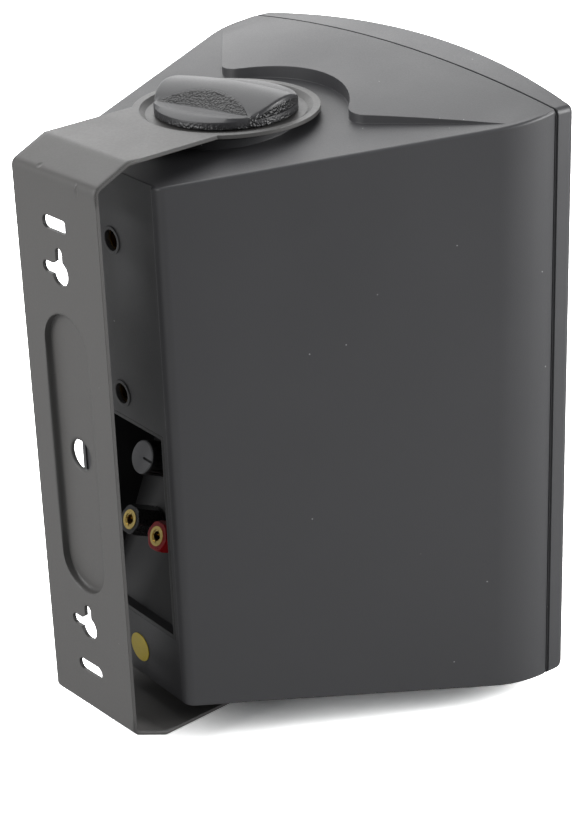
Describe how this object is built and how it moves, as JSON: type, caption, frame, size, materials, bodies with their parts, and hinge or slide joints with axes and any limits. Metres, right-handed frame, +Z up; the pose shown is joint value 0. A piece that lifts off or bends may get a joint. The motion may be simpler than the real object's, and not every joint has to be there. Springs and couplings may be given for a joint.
{
  "type": "wall loudspeaker",
  "caption": "Compact two-way loudspeaker in a moulded wedge cabinet, swivelling between the arms of a U wall bracket on clamp knobs, with rear binding posts and a power tap.",
  "frame": {"origin": "middle of the bracket's wall plate, in the plane of its rear face", "axes": "+Y away from the wall into the room, +Z up along the plate, +X across it; the cabinet is stored turned 3.7 degrees on the bracket, as pictured"},
  "size_m": [0.1876, 0.1857, 0.2646],
  "materials": {
    "cabinet_abs": "fine satin texture",
    "gasket_foam": "matt foam",
    "grille_steel": "matt black powder coat",
    "plated_screw": "zinc plated",
    "brass_insert": "turned",
    "friction_nylon": "matt moulded",
    "bracket_steel": "satin dark grey powder coat",
    "knob_abs": "satin with pebbled finger scoops",
    "zinc_steel": "zinc plated",
    "cup_abs": "satin moulded",
    "gold_brass": "gold plated",
    "black_plastic": "semi gloss moulded",
    "red_plastic": "semi gloss moulded",
    "collar_plastic": "semi gloss moulded",
    "tap_knob_plastic": "matt grey cap",
    "lamination_steel": "varnished laminations",
    "coil_tape": "insulation tape",
    "frame_steel": "zinc plated strap",
    "board_laminate": "solder resist",
    "copper_coil": "enamelled copper wire",
    "capacitor_sleeve": "heat-shrink sleeve",
    "resistor_ceramic": "cement",
    "basket_steel": "black coat on pressed steel",
    "surround_rubber": "matt rubber",
    "cone_paper": "black coated paper pulp",
    "spider_cloth": "resin-treated cloth",
    "plate_steel": "zinc plated",
    "ferrite": "ground ferrite",
    "tweeter_abs": "satin moulded",
    "dome_silk": "coated silk",
    "label_foil": "yellow foil disc, bare"
  },
  "bodies": {
    "bracket": {"bracket": "bracket_steel"},
    "top_knob": {"top_knob": "knob_abs", "top_knob_stud": "zinc_steel", "top_knob_washer": "zinc_steel"},
    "bottom_knob": {"bottom_knob": "knob_abs", "bottom_knob_stud": "zinc_steel", "bottom_knob_washer": "zinc_steel"},
    "tap": {"tap_shaft": "zinc_steel", "tap_knob": "tap_knob_plastic"},
    "black_cap": {"black_cap": "black_plastic", "black_cap_core": "gold_brass"},
    "red_cap": {"red_cap": "red_plastic", "red_cap_core": "gold_brass"},
    "cone": {"woofer_cone": "cone_paper", "dust_cap": "cone_paper", "voice_coil": "copper_coil"},
    "cabinet": {"rear_cabinet": "cabinet_abs", "front_baffle": "cabinet_abs", "baffle_gasket": "gasket_foam", "grille": "grille_steel", "housing_screws": "plated_screw", "top_pivot_insert": "brass_insert", "bottom_pivot_insert": "brass_insert", "top_friction_washer": "friction_nylon", "bottom_friction_washer": "friction_nylon", "rear_inserts": "brass_insert", "terminal_cup": "cup_abs", "cup_gasket": "gasket_foam", "black_post": "gold_brass", "red_post": "gold_brass", "post_collars": "collar_plastic", "post_nuts": "gold_brass", "solder_tags": "zinc_steel", "tap_switch": "black_plastic", "tap_nut": "zinc_steel", "transformer_core": "lamination_steel", "transformer_coil": "coil_tape", "transformer_frame": "frame_steel", "transformer_screws": "plated_screw", "crossover_board": "board_laminate", "crossover_coil": "copper_coil", "crossover_capacitors": "capacitor_sleeve", "crossover_resistor": "resistor_ceramic", "board_screws": "plated_screw", "woofer_basket": "basket_steel", "woofer_gasket": "gasket_foam", "woofer_surround": "surround_rubber", "spider": "spider_cloth", "woofer_top_plate": "plate_steel", "woofer_magnet": "ferrite", "woofer_yoke": "plate_steel", "woofer_screws": "plated_screw", "tweeter_plate": "tweeter_abs", "tweeter_dome": "dome_silk", "tweeter_magnet": "plate_steel", "tweeter_screws": "plated_screw", "round_label": "label_foil"}
  },
  "joints": [
    {"name": "cabinet_swivel", "type": "hinge", "parent": "bracket", "child": "cabinet", "pos_m": [0, 0.082, 0], "axis": [0, 0, 1], "range_deg": [-71.3, 78.7]},
    {"name": "top_knob_turn", "type": "hinge", "parent": "cabinet", "child": "top_knob", "pos_m": [0, 0.082, 0.125], "axis": [0, 0, 1], "range_deg": [0, 360]},
    {"name": "bottom_knob_turn", "type": "hinge", "parent": "cabinet", "child": "bottom_knob", "pos_m": [0, 0.082, -0.125], "axis": [0, 0, -1], "range_deg": [0, 360]},
    {"name": "tap_select", "type": "hinge", "parent": "cabinet", "child": "tap", "pos_m": [-0.0023, 0.04641, -0.01799], "axis": [-0.0594, -0.9186, 0.3907], "range_deg": [-30, 120]},
    {"name": "black_cap_turn", "type": "hinge", "parent": "cabinet", "child": "black_cap", "pos_m": [-0.0124, 0.03751, -0.04555], "axis": [-0.0594, -0.9186, 0.3907], "range_deg": [0, 720]},
    {"name": "red_cap_turn", "type": "hinge", "parent": "cabinet", "child": "red_cap", "pos_m": [0.00656, 0.03628, -0.04555], "axis": [-0.0594, -0.9186, 0.3907], "range_deg": [0, 720]},
    {"name": "cone_travel", "type": "slide", "parent": "cabinet", "child": "cone", "axis": [0.0645, 0.9979, 0], "range_m": [-0.003, 0.003], "stiffness_N_per_m": 1500, "deforming": ["woofer_surround", "spider"]}
  ]
}
